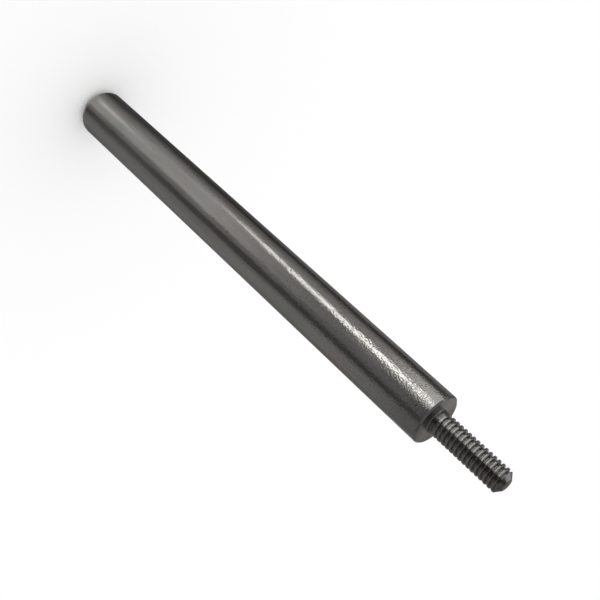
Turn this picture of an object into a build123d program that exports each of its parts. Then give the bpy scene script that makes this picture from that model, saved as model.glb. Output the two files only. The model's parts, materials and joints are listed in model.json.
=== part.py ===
"""A turned steel pin: a plain round body with a smaller threaded stud at one end.

Millimetres. The pin stands on the flat of its plain end. The origin is the centre of that flat,
and +Z runs up the turning axis to the tip of the stud.
"""

import math
import os

from build123d import *

# Body: a plain cylinder from the plain end to the shoulder
body_diameter = 13.8
body_length = 142.0
plain_end_radius = 3.0  # rounding of the plain end's rim
shoulder_chamfer = 0.4  # 45 degree break of the shoulder's outer edge

# Stud: turned to the major diameter of a 1/4"-20 UNC thread
stud_diameter = 6.35
stud_length = 21.5  # from the shoulder to the flat of the tip
stud_root_radius = 0.3  # rounding of the corner between shoulder and stud

# Tip of the stud: a lead-in cone down to a small flat, its edge rounded
tip_flat_diameter = 3.3
tip_cone_length = 1.25
tip_edge_radius = 0.4

# Thread: 20 to the inch. Its turns are rings here, one to a pitch, so that every crest is a whole
# wall of the stud's diameter; the visual model has the right-hand helix.
thread_pitch = 1.27
thread_depth = 0.6
thread_crest_width = 0.38
thread_angle = 60.0  # degrees, between the two flanks of a groove
thread_start = 1.6  # from the shoulder to the middle of the first groove
cutter_overlap = 0.1  # how far the grooves' cutter stands out of the stud

# Heights, radii and widths that follow from the sizes above
body_radius = body_diameter / 2
stud_radius = stud_diameter / 2
tip_height = body_length + stud_length
cone_depth = stud_radius - tip_flat_diameter / 2
groove_width = thread_pitch - thread_crest_width
cutter_width = groove_width + 2 * cutter_overlap * math.tan(math.radians(thread_angle / 2))
groove_count = 1 + math.floor((stud_length - thread_start) / thread_pitch)

with BuildPart() as turned_pin:
    # Half of the lengthwise section, turned about the axis in one go
    with BuildSketch(Plane.XZ):
        with BuildLine():
            Polyline(
                (0, 0),
                (body_radius, 0),
                (body_radius, body_length),
                (stud_radius, body_length),
                (stud_radius, tip_height),
                (0, tip_height),
                close=True,
            )
        make_face()
    revolve(axis=Axis.Z)

    # Round edges from the bottom up: rim of the plain end, the two edges of the shoulder, the tip
    round_edges = turned_pin.edges().filter_by(GeomType.CIRCLE)
    plain_end_rim = round_edges.group_by(Axis.Z)[0]
    shoulder_edges = round_edges.group_by(Axis.Z)[1].sort_by(SortBy.RADIUS)
    fillet(plain_end_rim, plain_end_radius)
    fillet(shoulder_edges[0], stud_root_radius)
    chamfer(shoulder_edges[-1], shoulder_chamfer)

    tip_flat = turned_pin.faces().sort_by(Axis.Z)[-1]
    chamfer(tip_flat.edges(), cone_depth, tip_cone_length, reference=tip_flat)
    tip_flat_edge = turned_pin.edges().filter_by(GeomType.CIRCLE).group_by(Axis.Z)[-1]
    fillet(tip_flat_edge, tip_edge_radius)

    # Grooves of the thread, from the neck up through the tip's cone; their wide side is outwards
    groove_middles = [
        (stud_radius + cutter_overlap, body_length + thread_start + groove * thread_pitch)
        for groove in range(groove_count)
    ]
    with BuildSketch(Plane.XZ):
        with Locations(groove_middles):
            Trapezoid(
                cutter_width,
                thread_depth + cutter_overlap,
                90 - thread_angle / 2,
                rotation=90,
                align=(Align.CENTER, Align.MIN),
            )
    revolve(axis=Axis.Z, mode=Mode.SUBTRACT)

turned_pin.part.label = "turned_pin"

os.makedirs("parts", exist_ok=True)
export_step(turned_pin.part, "parts/turned_pin.step")
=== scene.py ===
"""Looks of the turned steel pin: its cut thread, its steel, the floor, the lights and the camera.

Metres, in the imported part's frame. The pin stands on its plain end, +Z up to the tip of its stud.
Angles round the pin are in degrees from -Y, where the camera stands, towards -X.
"""

import json
import math

import bmesh
import bpy
from mathutils import Matrix, Vector


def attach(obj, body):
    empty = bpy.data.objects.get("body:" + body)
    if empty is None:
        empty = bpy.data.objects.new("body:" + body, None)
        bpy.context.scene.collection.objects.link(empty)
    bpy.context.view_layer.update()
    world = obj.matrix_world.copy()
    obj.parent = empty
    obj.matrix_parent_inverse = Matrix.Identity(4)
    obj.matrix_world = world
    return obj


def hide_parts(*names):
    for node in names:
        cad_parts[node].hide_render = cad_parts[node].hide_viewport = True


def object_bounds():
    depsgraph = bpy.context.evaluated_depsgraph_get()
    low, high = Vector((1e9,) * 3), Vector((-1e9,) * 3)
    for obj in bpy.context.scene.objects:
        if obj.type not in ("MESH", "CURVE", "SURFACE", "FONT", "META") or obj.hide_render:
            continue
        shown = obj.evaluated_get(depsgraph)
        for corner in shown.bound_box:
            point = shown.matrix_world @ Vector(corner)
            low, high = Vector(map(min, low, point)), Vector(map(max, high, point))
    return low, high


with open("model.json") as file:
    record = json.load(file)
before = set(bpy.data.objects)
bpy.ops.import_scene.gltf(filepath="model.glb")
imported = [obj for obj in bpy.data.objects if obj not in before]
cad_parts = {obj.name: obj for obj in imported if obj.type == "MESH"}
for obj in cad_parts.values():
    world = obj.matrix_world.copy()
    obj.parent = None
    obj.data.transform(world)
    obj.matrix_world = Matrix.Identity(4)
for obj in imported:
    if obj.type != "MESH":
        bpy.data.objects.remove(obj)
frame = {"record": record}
cad_low, cad_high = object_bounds()

MM = 0.001
mounts = {mount["name"]: mount for mount in frame["record"]["mounts"]}

# Sizes of the solid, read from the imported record
body_radius = mounts["body"]["dims"]["r_mm"] * MM
body_wall_length = mounts["body"]["dims"]["length_mm"] * MM
body_wall_middle = mounts["body"]["pos_m"][2]
stud_radius = mounts["stud"]["dims"]["r_mm"] * MM
stud_wall_length = mounts["stud"]["dims"]["length_mm"] * MM
stud_wall_middle = mounts["stud"]["pos_m"][2]
shoulder_height = mounts["shoulder"]["pos_m"][2]
tip_height = cad_high[2]

# Heights along the axis that follow from them
rim_height = body_wall_middle - body_wall_length / 2
body_top = body_wall_middle + body_wall_length / 2
stud_bottom = stud_wall_middle - stud_wall_length / 2

# Edges: three follow from the mounts' spans, and those of the tip aren't in the record
plain_end_radius = rim_height
shoulder_chamfer = shoulder_height - body_top
stud_root_radius = stud_bottom - shoulder_height
tip_flat_radius = 1.65 * MM
tip_cone_length = 1.25 * MM
tip_edge_radius = 0.4 * MM
cone_bottom = tip_height - tip_cone_length

# Thread: 1/4 inch, 20 to the inch, right-hand
pitch = 1.27 * MM
thread_depth = 0.6 * MM
crest_width = 0.38 * MM
flank_angle = math.radians(30)
thread_start = 1.6 * MM  # from the shoulder to where the groove's middle is first at full depth
run_out_turns = 0.4  # turns below that start, over which the groove fades out
crest_rounding = 0.4  # 0 for sharp crests, 1 for flanks that are rounded all through

# Fineness of the mesh
columns = 144
levels_per_pitch = 18
round_steps = 8
even_band = 0.4 * MM  # rings this far from a bend keep the plain walls' shading even
crease_angle = math.radians(28)
same_height = 0.001 * MM  # heights nearer than this are one


def smooth_step(value):
    """0 below 0, 1 above 1 and a smooth climb between."""
    held = min(max(value, 0.0), 1.0)
    return held * held * (3.0 - 2.0 * held)


def around(angle, distance, height):
    """The point at an angle round the pin, a distance from its axis and a height."""
    turn = math.radians(angle)
    return Vector((-distance * math.sin(turn), -distance * math.cos(turn), height))


# ---------------------------------------------------------------- the pin's mesh


def thread_surface(height, turns):
    """Radius of the cut thread at a height, on the side that is this many turns round from +X."""
    position = (height - shoulder_height - thread_start) / pitch - turns
    groove = round(position)
    from_middle = abs(position - groove) * pitch
    # Turns along the helix; below the start the groove's root leaves the stud at an even rate
    travel = groove + turns
    rise = thread_depth * max(-travel / run_out_turns, 0.0)
    flank_width = thread_depth * math.tan(flank_angle)
    half_opening = (pitch - crest_width) / 2
    share = min(max((half_opening - from_middle) / flank_width, 0.0), 1.0)
    rounded = (1.0 - crest_rounding) * share + crest_rounding * smooth_step(share)
    return stud_radius - max(thread_depth * rounded - rise, 0.0)


def tip_surface(height):
    """Radius of the lead-in cone at a height."""
    share = (height - cone_bottom) / (tip_height - cone_bottom)
    return stud_radius - (stud_radius - tip_flat_radius) * share


def stud_surface(height, turns):
    """Radius of the stud: the thread, cut off by the cone at the tip."""
    if height <= cone_bottom:
        return thread_surface(height, turns)
    return min(thread_surface(height, turns), tip_surface(height))


def quarter_round(centre_radius, centre_height, radius, first, last):
    """Radius and height of points on an arc; angles are from outwards, towards the tip."""
    points = []
    for step in range(round_steps + 1):
        angle = math.radians(first + (last - first) * step / round_steps)
        points.append(
            (centre_radius + radius * math.cos(angle), centre_height + radius * math.sin(angle))
        )
    return points


def add_threaded_strip(mesh, low, high):
    """The stud's surface between two heights, its rows of faces following the helix."""
    rows_below = round((low - shoulder_height) / pitch * levels_per_pitch) - levels_per_pitch
    rows_above = round((high - shoulder_height) / pitch * levels_per_pitch) + levels_per_pitch
    rows = range(rows_below, rows_above)
    grid = {}
    for column in range(columns):
        turns = column / columns
        for row in rows:
            height = shoulder_height + pitch * (row / levels_per_pitch + turns)
            radius = stud_surface(height, turns)
            turn = 2 * math.pi * turns
            grid[column, row] = mesh.verts.new(
                (radius * math.cos(turn), radius * math.sin(turn), height)
            )
    for row in rows:
        # Past the last column the strip goes on one pitch further up the first column
        grid[columns, row - levels_per_pitch] = grid[0, row]
    for column in range(columns):
        for row in rows:
            corners = [
                grid.get((column, row)),
                grid.get((column + 1, row)),
                grid.get((column + 1, row + 1)),
                grid.get((column, row + 1)),
            ]
            if None not in corners:
                mesh.faces.new(corners)
    for height, outward in ((low, -1), (high, 1)):
        bmesh.ops.bisect_plane(
            mesh,
            geom=mesh.verts[:] + mesh.edges[:] + mesh.faces[:],
            plane_co=(0, 0, height),
            plane_no=(0, 0, outward),
            clear_outer=True,
        )


def carry_on(mesh, height, outline):
    """Carries the open edge at a height on through the outline's rings, and closes the last."""
    edges = [
        edge
        for edge in mesh.edges
        if edge.is_boundary and all(abs(v.co.z - height) < same_height for v in edge.verts)
    ]
    for ring_radius, ring_height in outline:
        made = bmesh.ops.extrude_edge_only(mesh, edges=edges)["geom"]
        edges = [part for part in made if isinstance(part, bmesh.types.BMEdge)]
        for vert in (part for part in made if isinstance(part, bmesh.types.BMVert)):
            side = vert.co.xy.normalized() * ring_radius
            vert.co = (side.x, side.y, ring_height)
    made = bmesh.ops.extrude_edge_only(mesh, edges=edges)["geom"]
    ring = [part for part in made if isinstance(part, bmesh.types.BMVert)]
    bmesh.ops.pointmerge(mesh, verts=ring, merge_co=(0, 0, ring[0].co.z))


def make_pin(material):
    """The whole pin as one closed mesh."""
    mesh = bmesh.new()
    cone_slope = math.atan2(tip_height - cone_bottom, stud_radius - tip_flat_radius)
    edge_reach = tip_edge_radius * math.tan(cone_slope / 2)
    strip_top = tip_height - edge_reach * math.sin(cone_slope)
    add_threaded_strip(mesh, stud_bottom, strip_top)

    downwards = quarter_round(
        stud_radius + stud_root_radius, stud_bottom, stud_root_radius, 180, 270
    )[1:]
    downwards += [
        (stud_radius + stud_root_radius + even_band, shoulder_height),
        (body_radius - shoulder_chamfer, shoulder_height),
        (body_radius, body_top),
        (body_radius, body_top - even_band),
        (body_radius, rim_height + even_band),
    ]
    downwards += quarter_round(
        body_radius - plain_end_radius, rim_height, plain_end_radius, 0, -90
    )
    carry_on(mesh, stud_bottom, downwards)

    # The tip's edge: an arc that leaves the cone and runs into the flat
    arc_centre = tip_flat_radius - edge_reach
    upwards = quarter_round(
        arc_centre,
        tip_height - tip_edge_radius,
        tip_edge_radius,
        90 - math.degrees(cone_slope),
        90,
    )[1:]
    carry_on(mesh, strip_top, upwards)

    bmesh.ops.recalc_face_normals(mesh, faces=mesh.faces[:])
    for face in mesh.faces:
        face.smooth = True
    for edge in mesh.edges:
        edge.smooth = edge.calc_face_angle(0.0) < crease_angle
    data = bpy.data.meshes.new("turned_pin_threaded")
    mesh.to_mesh(data)
    mesh.free()
    pin = bpy.data.objects.new("turned_pin_threaded", data)
    bpy.context.collection.objects.link(pin)
    data.materials.append(material)
    return pin


# ---------------------------------------------------------------- materials

# Grains of each noise to the metre, how far two of them are drawn out along the pin, and how
# high two of them stand as bumps
RIPPLE_SCALE = 520.0
GRAIN_SCALE = 2600.0
MOTTLE_SCALE = 300.0
PATCH_SCALE = 75.0
SPECK_SCALE = 1500.0
PIT_SCALE = 2400.0
RIPPLE_DRAWN = 0.35
MOTTLE_DRAWN = 0.09
RIPPLE_HEIGHT = 0.05 * MM
GRAIN_HEIGHT = 0.068 * MM

# Colours, as linear red, green and blue, and the most that each mark covers
DARK_STEEL = (0.344, 0.336, 0.322, 1.0)
LIGHT_STEEL = (0.439, 0.429, 0.411, 1.0)
PINKISH_STAIN = (0.40, 0.345, 0.325, 1.0)
GREENISH_STAIN = (0.33, 0.35, 0.315, 1.0)
SPECK_COLOUR = (0.10, 0.095, 0.085, 1.0)
PIT_COLOUR = (0.17, 0.165, 0.155, 1.0)
# The colour of the painted shade in the thread's grooves
GROOVE_SHADE_COLOUR = (0.06, 0.055, 0.04, 1.0)
STAIN_SHARE = 0.8
SPECK_SHARE = 0.5
PIT_SHARE = 0.25
# The most painted shade that reaches the thread's roots
GROOVE_SHADE_SHARE = 0.2

# Values of the noises between which each mark goes from none to full
MOTTLE_RANGE = (0.3, 0.7)
PINKISH_RANGE = (0.55, 0.75)
GREENISH_RANGE = (0.42, 0.3)
SPECK_RANGE = (0.69, 0.77)
PIT_RANGE = (0.54, 0.66)
PATCHY_RANGE = (0.3, 0.7)

# Roughness of the turned wall, and what is added on faces that look up and at the plain end
WALL_ROUGHNESS = (0.18, 0.26)
UPWARD_RANGE = (0.8, 0.95)
UPWARD_ROUGHER = 0.12
END_ROUGHER = 0.09

# What is left of the grain and pits above the shoulder, of the grain at the plain end, and of
# it between its patches
STUD_MARKS = 0.25
END_GRAIN = 0.2
WEAK_GRAIN = 0.6

# Heights between which the marks change along the body, low and high
SATIN_END = (10 * MM, 60 * MM)
GRAIN_RISE = (60 * MM, 110 * MM)
PIT_RISE = (70 * MM, 110 * MM)


def new_material(name):
    """An empty node material with its output; returns the material, its tree and the output."""
    material = bpy.data.materials.new(name)
    material.use_nodes = True
    material.node_tree.nodes.clear()
    output = material.node_tree.nodes.new("ShaderNodeOutputMaterial")
    return material, material.node_tree, output


def node(tree, kind, inputs=None, **settings):
    """Adds a node, sets its properties, and sets or links its inputs by name or number."""
    made = tree.nodes.new(kind)
    for key, value in settings.items():
        setattr(made, key, value)
    for key, value in (inputs or {}).items():
        if isinstance(value, bpy.types.NodeSocket):
            tree.links.new(value, made.inputs[key])
        else:
            made.inputs[key].default_value = value
    return made


def noise(tree, place, scale, detail):
    """Value of a noise whose grains are one metre over the scale across."""
    settings = {"Vector": place, "Scale": scale, "Detail": detail}
    return node(tree, "ShaderNodeTexNoise", settings).outputs["Fac"]


def ramp(tree, value, first, last, low=0.0, high=1.0):
    """The value, mapped from first..last to low..high and held there."""
    ends = {"Value": value, "From Min": first, "From Max": last, "To Min": low, "To Max": high}
    return node(tree, "ShaderNodeMapRange", ends).outputs["Result"]


def plus(tree, first, second):
    """The sum of two values."""
    return node(tree, "ShaderNodeMath", {0: first, 1: second}, operation="ADD").outputs[0]


def times(tree, first, second):
    """The product of two values."""
    return node(tree, "ShaderNodeMath", {0: first, 1: second}, operation="MULTIPLY").outputs[0]


def drawn_out(tree, place, along):
    """The place with its height scaled, so that noise is drawn out along the pin."""
    inputs = {0: place, 1: (1, 1, along)}
    return node(tree, "ShaderNodeVectorMath", inputs, operation="MULTIPLY").outputs[0]


def blend(tree, share, first, second):
    """The first colour, with a share of it replaced by the second."""
    inputs = {0: share, 6: first, 7: second}
    return node(tree, "ShaderNodeMix", inputs, data_type="RGBA").outputs[2]


def steel():
    """Satin turned steel: ripples, fine grain, small pits, faint stains and painted shade in the
    thread's grooves.
    """
    material, tree, output = new_material("turned_steel")
    coordinates = node(tree, "ShaderNodeTexCoord").outputs
    place = coordinates["Object"]
    height = node(tree, "ShaderNodeSeparateXYZ", {0: place}).outputs["Z"]
    facing = node(tree, "ShaderNodeSeparateXYZ", {0: coordinates["Normal"]}).outputs["Z"]
    across = drawn_out(tree, place, 0)
    radius = node(tree, "ShaderNodeVectorMath", {0: across}, operation="LENGTH").outputs["Value"]

    ripple = noise(tree, drawn_out(tree, place, RIPPLE_DRAWN), RIPPLE_SCALE, 1.0)
    grain = noise(tree, place, GRAIN_SCALE, 0.0)
    mottle = noise(tree, drawn_out(tree, place, MOTTLE_DRAWN), MOTTLE_SCALE, 5.0)
    patch = noise(tree, place, PATCH_SCALE, 3.0)
    speck = noise(tree, place, SPECK_SCALE, 1.0)
    pit = noise(tree, place, PIT_SCALE, 1.0)
    on_body = ramp(tree, height, shoulder_height - 0.5 * MM, shoulder_height, 1.0, STUD_MARKS)

    # Colour: streaky steel, pinkish and greenish stains, dark specks
    colour = blend(tree, ramp(tree, mottle, *MOTTLE_RANGE), DARK_STEEL, LIGHT_STEEL)
    pinkish = ramp(tree, patch, *PINKISH_RANGE, 0.0, STAIN_SHARE)
    colour = blend(tree, pinkish, colour, PINKISH_STAIN)
    greenish = ramp(tree, patch, *GREENISH_RANGE, 0.0, STAIN_SHARE)
    colour = blend(tree, greenish, colour, GREENISH_STAIN)
    specked = ramp(tree, speck, *SPECK_RANGE, 0.0, SPECK_SHARE)
    colour = blend(tree, specked, colour, SPECK_COLOUR)

    # Painted shade: darker towards the thread's roots, but none on the shoulder or the tip
    crest = stud_radius - 0.1 * MM
    root = stud_radius - thread_depth
    in_groove = ramp(tree, radius, crest, root, 0.0, GROOVE_SHADE_SHARE)
    on_stud = ramp(tree, height, shoulder_height, shoulder_height + 0.3 * MM)
    below_tip = ramp(tree, height, cone_bottom, cone_bottom + 0.4 * MM, 1.0, 0.0)
    groove_shade = times(tree, times(tree, in_groove, on_stud), below_tip)
    colour = blend(tree, groove_shade, colour, GROOVE_SHADE_COLOUR)

    # Fine dark pits where the grain is strong
    pitted = ramp(tree, pit, *PIT_RANGE, 0.0, PIT_SHARE)
    pitted = times(tree, pitted, ramp(tree, height, *PIT_RISE))
    colour = blend(tree, times(tree, pitted, on_body), colour, PIT_COLOUR)

    # Rougher on the faces that look up, and towards the plain end
    wall = ramp(tree, mottle, *MOTTLE_RANGE, *WALL_ROUGHNESS)
    roughness = plus(tree, wall, ramp(tree, facing, *UPWARD_RANGE, 0.0, UPWARD_ROUGHER))
    roughness = plus(tree, roughness, ramp(tree, height, *SATIN_END, END_ROUGHER, 0.0))

    # The grain is stronger towards the stud, and patchy
    patchy = ramp(tree, patch, *PATCHY_RANGE, WEAK_GRAIN, 1.0)
    grain_strength = times(tree, ramp(tree, height, *GRAIN_RISE, END_GRAIN, 1.0), patchy)
    grain_strength = times(tree, grain_strength, on_body)
    rippled = node(
        tree, "ShaderNodeBump", {"Height": ripple, "Strength": 1.0, "Distance": RIPPLE_HEIGHT}
    ).outputs["Normal"]
    bump = node(
        tree,
        "ShaderNodeBump",
        {
            "Height": grain,
            "Strength": grain_strength,
            "Distance": GRAIN_HEIGHT,
            "Normal": rippled,
        },
    ).outputs["Normal"]
    tangent = node(tree, "ShaderNodeTangent", direction_type="RADIAL", axis="Z").outputs[0]
    shader = node(
        tree,
        "ShaderNodeBsdfPrincipled",
        {
            "Base Color": colour,
            "Metallic": 1.0,
            "Roughness": roughness,
            "Anisotropic": 0.7,
            "Anisotropic Rotation": 0.25,
            "Normal": bump,
            "Tangent": tangent,
        },
    )
    tree.links.new(shader.outputs[0], output.inputs["Surface"])
    return material


def plain_floor_material():
    """A matt pale floor. To the camera, and in gloss and glass, it is a touch whiter."""
    material, tree, output = new_material("pale_floor")
    path = node(tree, "ShaderNodeLightPath").outputs
    seen = plus(tree, path["Is Camera Ray"], path["Is Glossy Ray"])
    seen = plus(tree, seen, path["Is Transmission Ray"])
    shader = node(
        tree,
        "ShaderNodeBsdfPrincipled",
        {
            "Base Color": (0.97, 0.97, 0.97, 1.0),
            "Roughness": 0.9,
            "Specular IOR Level": 0.1,
            "Emission Color": (1.0, 1.0, 1.0, 1.0),
            "Emission Strength": times(tree, seen, FLOOR_LIFT),
        },
    )
    tree.links.new(shader.outputs[0], output.inputs["Surface"])
    return material


def glow(name, levels, low, high):
    """A grey light whose level changes steadily from a low to a high place.

    An even one has two equal levels, and the ramp holds them even where low and high are one.
    """
    material, tree, output = new_material(name)
    place = node(tree, "ShaderNodeNewGeometry").outputs["Position"]
    height = node(tree, "ShaderNodeSeparateXYZ", {0: place}).outputs["Z"]
    level = ramp(tree, height, low, high, *levels)
    shader = node(tree, "ShaderNodeEmission", {"Color": CARD_TINT, "Strength": level})
    tree.links.new(shader.outputs[0], output.inputs["Surface"])
    return material


# ---------------------------------------------------------------- floor, lights, cards

FLOOR_HALF_SIDE = 6.0
FLOOR_LIFT = 0.04  # glow of the floor to the camera and in gloss and glass
WORLD_LEVEL = 1.0
CARD_TINT = (1.0, 0.99, 0.98, 1.0)
CARD_STEPS = 12
CARD_DISTANCE = 75 * MM
CARD_FLOOR_GAP = 0.4 * MM
FLOOR_CARD_START = 1.02 * body_radius
FLOOR_CARD_MIDDLE = 2.2 * body_radius

# Heights at which the ring of cards changes: its foot, what the body's far and near half, the
# stud and the shoulder's face reflect, and the lid
FOOT_TOP = 12 * MM
BODY_MIDDLE = 80 * MM
BODY_TOP = 104 * MM
STUD_FOOT = 121 * MM
STUD_TOP = 150 * MM
FACE_FOOT = 160 * MM
FACE_HEAD = 178 * MM
RING_TOP = 200 * MM

LID_MIDDLE = 13 * MM  # distance from the axis at which the lid's dark middle ends
LID_HOLE = 0.1 * MM  # radius of the hole left at the axis
STRIP_DISTANCE = 70 * MM


def make_floor():
    """A wide pale floor that the pin stands on."""
    data = bpy.data.meshes.new("floor")
    side = FLOOR_HALF_SIDE
    corners = [(-side, -side, 0), (side, -side, 0), (side, side, 0), (-side, side, 0)]
    data.from_pydata(corners, [], [(0, 1, 2, 3)])
    data.materials.append(plain_floor_material())
    floor = bpy.data.objects.new("floor", data)
    bpy.context.collection.objects.link(floor)


def make_world():
    """Plain white light from all round."""
    world = bpy.data.worlds.new("studio")
    bpy.context.scene.world = world
    world.use_nodes = True
    background = world.node_tree.nodes["Background"]
    background.inputs["Color"].default_value = (1.0, 1.0, 1.0, 1.0)
    background.inputs["Strength"].default_value = WORLD_LEVEL


def reflection_card(name, levels, rings):
    """A grey card that only the steel's reflections see; levels are at its foot and its head.

    Each ring is the card's two edges, as angles round the pin, its distance and its height.
    """
    verts = []
    for first, last, distance, height in rings:
        for step in range(CARD_STEPS + 1):
            verts.append(around(first + (last - first) * step / CARD_STEPS, distance, height))
    faces = []
    for ring in range(len(rings) - 1):
        for step in range(CARD_STEPS):
            start = ring * (CARD_STEPS + 1) + step
            above = start + CARD_STEPS + 1
            faces.append((start, start + 1, above + 1, above))
    data = bpy.data.meshes.new(name)
    data.from_pydata(verts, [], faces)
    data.materials.append(glow(name, levels, rings[0][3], rings[-1][3]))
    card = bpy.data.objects.new(name, data)
    card.visible_camera = False
    card.visible_diffuse = False
    card.visible_transmission = False
    card.visible_shadow = False
    bpy.context.collection.objects.link(card)


def floor_card(name, level, first, last):
    """A card along the floor, from the pin's side outwards to a ring's foot.

    The side of a pin reflects twice the angle it stands at, so the card's edges do as well.
    """
    start = (first / 2, last / 2, FLOOR_CARD_START, CARD_FLOOR_GAP)
    # Midway between the half angle and the whole one
    middle = (first * 0.75, last * 0.75, FLOOR_CARD_MIDDLE, CARD_FLOOR_GAP)
    end = (first, last, CARD_DISTANCE, CARD_FLOOR_GAP)
    reflection_card(name, (level, level), [start, middle, end])


def wall_card(name, levels, first, last, low, high):
    """A card that stands on the ring round the pin."""
    ends = [(first, last, CARD_DISTANCE, low), (first, last, CARD_DISTANCE, high)]
    reflection_card(name, levels, ends)


def make_body_cards():
    """The floor's cards and the ring up to where the body's reflections end."""
    low_cards = [
        # name, level, first and last angle
        ("left_back", 0.22, -150, -116),
        ("left", 0.28, -116, -66),
        ("left_edge", 0.25, -66, -54),
        ("left_flag", 0.11, -54, -28),
        ("front_left", 0.28, -28, -8),
        ("front", 0.60, -8, 56),
        ("right", 0.33, 56, 78),
        ("right_edge", 0.18, 78, 98),
        ("right_flag", 0.05, 98, 122),
        ("right_back", 0.10, 122, 150),
    ]
    for name, level, first, last in low_cards:
        floor_card("floor_" + name, level, first, last)
        wall_card("low_" + name, (level, level), first, last, CARD_FLOOR_GAP, FOOT_TOP)
    high_cards = [
        # name, levels below and above, first and last angle
        ("left_back", (0.22, 0.20), -150, -116),
        ("left", (0.30, 0.30), -116, -66),
        ("left_edge", (0.25, 0.27), -66, -54),
        ("left_flag", (0.10, 0.085), -54, -28),
        ("front_left", (0.28, 0.20), -28, -10),
        ("front", (0.60, 0.20), -10, 50),
        ("right", (0.36, 0.36), 50, 78),
        ("right_edge", (0.20, 0.26), 78, 98),
        ("right_flag", (0.05, 0.05), 98, 122),
        ("right_back", (0.12, 0.25), 122, 150),
        ("back", (0.25, 0.15), 150, 210),
    ]
    for name, (below, above), first, last in high_cards:
        wall_card("half_" + name, (below, above), first, last, FOOT_TOP, BODY_MIDDLE)
        wall_card("high_" + name, (above, above), first, last, BODY_MIDDLE, BODY_TOP)
    # Behind the pin one card closes the gap between the outer two, and is widest by the pin
    floor_back = [
        (75, 285, FLOOR_CARD_START, CARD_FLOOR_GAP),
        (112, 248, FLOOR_CARD_MIDDLE, CARD_FLOOR_GAP),
        (150, 210, CARD_DISTANCE, CARD_FLOOR_GAP),
    ]
    reflection_card("floor_back", (0.12, 0.12), floor_back)
    wall_card("low_back", (0.12, 0.12), 150, 210, CARD_FLOOR_GAP, FOOT_TOP)


def make_stud_cards():
    """The ring beside the stud, above what the body reflects."""
    cards = [
        # name, levels at foot and head, first and last angle, foot and head
        ("stud_left", (0.20, 0.20), -150, -50, BODY_TOP, RING_TOP),
        ("stud_left_edge", (0.10, 0.10), -50, -30, BODY_TOP, RING_TOP),
        ("stud_flag_foot", (0.25, 0.25), -30, 11, BODY_TOP, STUD_FOOT),
        ("stud_flag", (0.03, 0.03), -30, 11, STUD_FOOT, RING_TOP),
        ("stud_key", (1.0, 1.0), 11, 84, BODY_TOP, STUD_TOP),
        ("stud_right_foot", (0.05, 0.05), 98, 122, BODY_TOP, STUD_FOOT),
        ("stud_right_edge_foot", (0.26, 0.26), 84, 98, BODY_TOP, STUD_FOOT),
        ("stud_right_back_foot", (0.25, 0.25), 122, 160, BODY_TOP, STUD_FOOT),
        ("stud_right_edge", (0.12, 0.12), 84, 106, STUD_FOOT, STUD_TOP),
        ("stud_right", (0.25, 0.25), 106, 160, STUD_FOOT, STUD_TOP),
        ("stud_back", (0.08, 0.06), 160, 195, BODY_TOP, FACE_FOOT),
        ("stud_left_back", (0.45, 0.45), 195, 210, BODY_TOP, STUD_TOP),
        ("top_right", (0.15, 0.15), 11, 150, STUD_TOP, RING_TOP),
        ("top_right_back", (0.25, 0.25), 150, 160, STUD_TOP, FACE_FOOT),
        ("top_left_back", (0.06, 0.06), 195, 210, STUD_TOP, FACE_FOOT),
        ("face_light", (0.54, 0.54), 150, 184, FACE_FOOT, FACE_HEAD),
        ("face_light_left", (0.25, 0.25), 184, 210, FACE_FOOT, FACE_HEAD),
        ("top_back", (0.12, 0.12), 150, 210, FACE_HEAD, RING_TOP),
    ]
    for card in cards:
        wall_card(*card)


def make_lid():
    """The ring's lid: dark above the pin, light towards the right of the far side."""
    cards = [
        # name, level, first and last angle
        ("lid_front", 0.20, -70, 95),
        ("lid_right", 0.6, 95, 160),
        ("lid_back", 0.15, 160, 200),
        ("lid_left", 0.12, 200, 290),
    ]
    for name, level, first, last in cards:
        inner = (first, last, LID_MIDDLE, RING_TOP)
        outer = (first, last, CARD_DISTANCE, RING_TOP)
        reflection_card(name, (level, level), [inner, outer])
    middle = [(0, 360, LID_HOLE, RING_TOP), (0, 360, LID_MIDDLE, RING_TOP)]
    reflection_card("lid_middle", (0.04, 0.04), middle)


def make_strip_lights():
    """The bright cards that the body's streaks come from."""
    # A long one, whose streak runs down to the shoulder
    streak = [
        (50, 62, STRIP_DISTANCE, 25 * MM),
        (38, 50, STRIP_DISTANCE, 70 * MM),
        (26, 42, STRIP_DISTANCE, 114 * MM),
    ]
    reflection_card("strip_light", (1.6, 3.6), streak)
    # A short one by the plain end
    low_streak = [
        (17, 30, 11 * MM, 0.6 * MM),
        (22, 34, 22 * MM, 0.6 * MM),
        (28, 34, 32 * MM, 0.7 * MM),
    ]
    reflection_card("low_strip_light", (1.15, 1.15), low_streak)


# ---------------------------------------------------------------- camera

camera_distance = 215.0 * MM
camera_height = 216.0 * MM
aim_point = Vector((0.94, 0.0, 94.58)) * MM
camera_roll = 132.79  # degrees
camera_lens = 59.18
sensor_width = 36.0
nearest_seen = 0.01
farthest_seen = 50.0


def make_camera():
    """The camera, aimed at a point of the body and rolled about its line of sight."""
    data = bpy.data.cameras.new("camera")
    data.sensor_width = sensor_width
    data.lens = camera_lens
    data.clip_start = nearest_seen
    data.clip_end = farthest_seen
    camera = bpy.data.objects.new("camera", data)
    camera.location = (0.0, -camera_distance, camera_height)
    level_view = (aim_point - camera.location).to_track_quat("-Z", "Y").to_matrix()
    roll = Matrix.Rotation(math.radians(camera_roll), 3, "Z")
    camera.rotation_euler = (level_view @ roll).to_euler()
    bpy.context.collection.objects.link(camera)
    bpy.context.scene.camera = camera


# ---------------------------------------------------------------- the scene

pin = make_pin(steel())
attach(pin, "root")
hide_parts("turned_pin")

make_floor()
make_world()
make_body_cards()
make_stud_cards()
make_lid()
make_strip_lights()
make_camera()
bpy.context.scene.view_settings.view_transform = "Standard"
